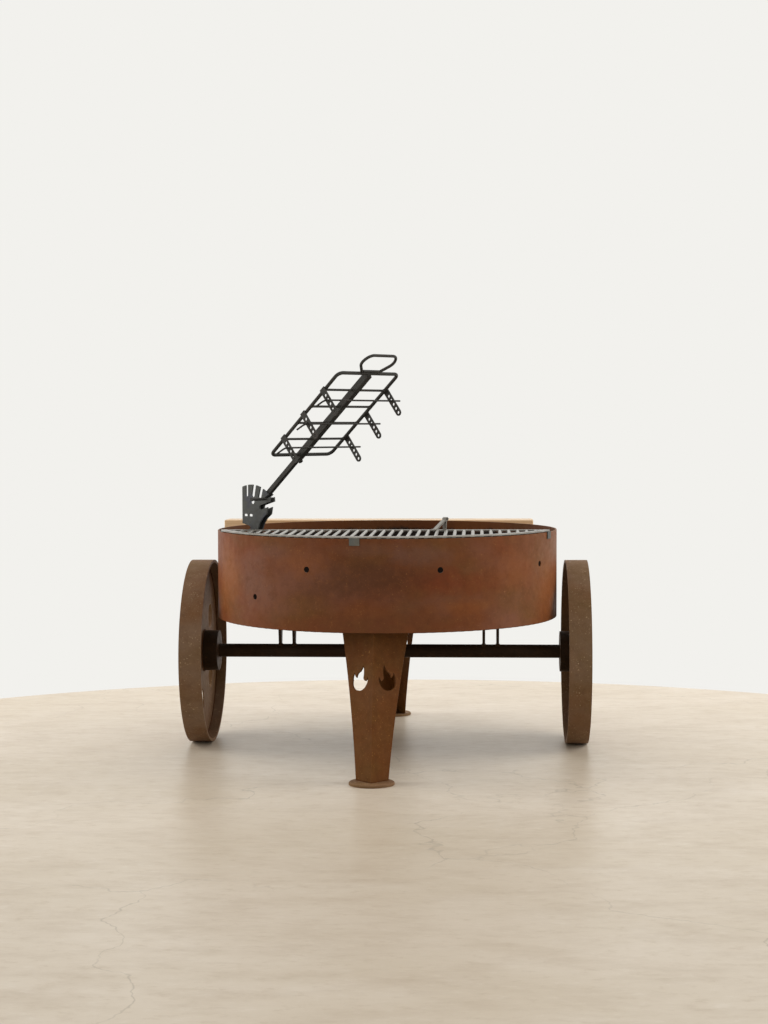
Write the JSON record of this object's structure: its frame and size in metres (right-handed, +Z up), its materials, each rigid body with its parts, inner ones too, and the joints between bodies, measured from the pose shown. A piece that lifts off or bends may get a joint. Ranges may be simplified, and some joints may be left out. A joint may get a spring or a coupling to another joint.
{
  "type": "fire pit grill",
  "caption": "Round steel fire pit grill on legs and wheels, with a cooking grate over its front, a swivelling and tilting roasting rack and a rear wooden shelf.",
  "frame": {"origin": "on the floor under the drum's axis, the middle of the whole object's plan", "axes": "+X to the right wheel, -Y to the cook's side with the grate, +Y to the shelf board, +Z up"},
  "size_m": [1.4366, 1.567, 1.3786],
  "materials": {
    "weathered_steel": "matt rusted weathering steel",
    "blackened_steel": "blackened steel, matt",
    "stainless_steel": "brushed stainless steel",
    "zinc_plated_steel": "dull zinc plating",
    "wood": "planed oiled wood"
  },
  "bodies": {
    "stand": {"drum_wall": "weathered_steel", "drum_floor": "weathered_steel", "front_leg": "weathered_steel", "rear_leg": "weathered_steel", "front_foot": "weathered_steel", "rear_foot": "weathered_steel", "axle": "weathered_steel", "left_axle_washer": "weathered_steel", "left_axle_screw": "zinc_plated_steel", "right_axle_washer": "weathered_steel", "right_axle_screw": "zinc_plated_steel", "axle_hanger_1": "weathered_steel", "axle_hanger_2": "weathered_steel", "axle_hanger_3": "weathered_steel", "axle_hanger_4": "weathered_steel", "wooden_board": "wood", "left_board_bracket": "weathered_steel", "right_board_bracket": "weathered_steel", "board_screws": "zinc_plated_steel", "holder_socket": "weathered_steel", "holder_washer": "weathered_steel", "upper_socket_bracket": "weathered_steel", "lower_socket_bracket": "weathered_steel"},
    "left_wheel": {"left_wheel_band": "weathered_steel", "left_wheel_web": "weathered_steel", "left_wheel_hub": "weathered_steel"},
    "right_wheel": {"right_wheel_band": "weathered_steel", "right_wheel_web": "weathered_steel", "right_wheel_hub": "weathered_steel"},
    "grate": {"grate_ring": "stainless_steel", "grate_bars": "stainless_steel", "grate_clip_1": "stainless_steel", "grate_clip_2": "stainless_steel", "grate_rest": "stainless_steel", "grate_handle": "stainless_steel"},
    "holder": {"comb_plate": "blackened_steel", "cheek_plate": "blackened_steel", "holder_post": "blackened_steel", "pivot_bolt": "blackened_steel"},
    "index_pin": {"index_pin": "blackened_steel"},
    "arm": {"arm_bar": "blackened_steel"},
    "rack": {"rack_spine": "blackened_steel", "rack_frame": "blackened_steel", "rack_handle": "blackened_steel", "left_strap_1": "blackened_steel", "left_strap_2": "blackened_steel", "left_strap_3": "blackened_steel", "right_strap_1": "blackened_steel", "right_strap_2": "blackened_steel", "right_strap_3": "blackened_steel"},
    "clamp_rod_1": {"clamp_rod_1": "blackened_steel"},
    "clamp_rod_2": {"clamp_rod_2": "blackened_steel"},
    "clamp_rod_3": {"clamp_rod_3": "blackened_steel"}
  },
  "joints": [
    {"name": "left_wheel_spin", "type": "hinge", "parent": "stand", "child": "left_wheel", "pos_m": [-0.674, 0.09, 0.329], "axis": [1, 0, 0], "continuous": true},
    {"name": "right_wheel_spin", "type": "hinge", "parent": "stand", "child": "right_wheel", "pos_m": [0.674, 0.09, 0.329], "axis": [1, 0, 0], "continuous": true},
    {"name": "grate_lift", "type": "slide", "parent": "stand", "child": "grate", "axis": [0, 0, 1], "range_m": [0, 0.15]},
    {"name": "holder_swivel", "type": "hinge", "parent": "stand", "child": "holder", "pos_m": [-0.475, 0.036, 0.764], "axis": [0, 0, 1], "range_deg": [-150, 100]},
    {"name": "arm_tilt", "type": "hinge", "parent": "holder", "child": "arm", "pos_m": [-0.475, 0.036, 0.845], "axis": [-0.6665, -0.7455, 0], "range_deg": [0, 60]},
    {"name": "index_pin_slide", "type": "slide", "parent": "holder", "child": "index_pin", "axis": [-0.6665, -0.7455, 0], "range_m": [0, 0.12]},
    {"name": "rack_slide", "type": "slide", "parent": "arm", "child": "rack", "axis": [0.5785, -0.5173, 0.6307], "range_m": [0, 0.15]},
    {"name": "clamp_rod_1_slide", "type": "slide", "parent": "rack", "child": "clamp_rod_1", "axis": [-0.6665, -0.7455, 0], "range_m": [0, 0.2]},
    {"name": "clamp_rod_2_slide", "type": "slide", "parent": "rack", "child": "clamp_rod_2", "axis": [-0.6665, -0.7455, 0], "range_m": [0, 0.2]},
    {"name": "clamp_rod_3_slide", "type": "slide", "parent": "rack", "child": "clamp_rod_3", "axis": [-0.6665, -0.7455, 0], "range_m": [0, 0.2]}
  ]
}
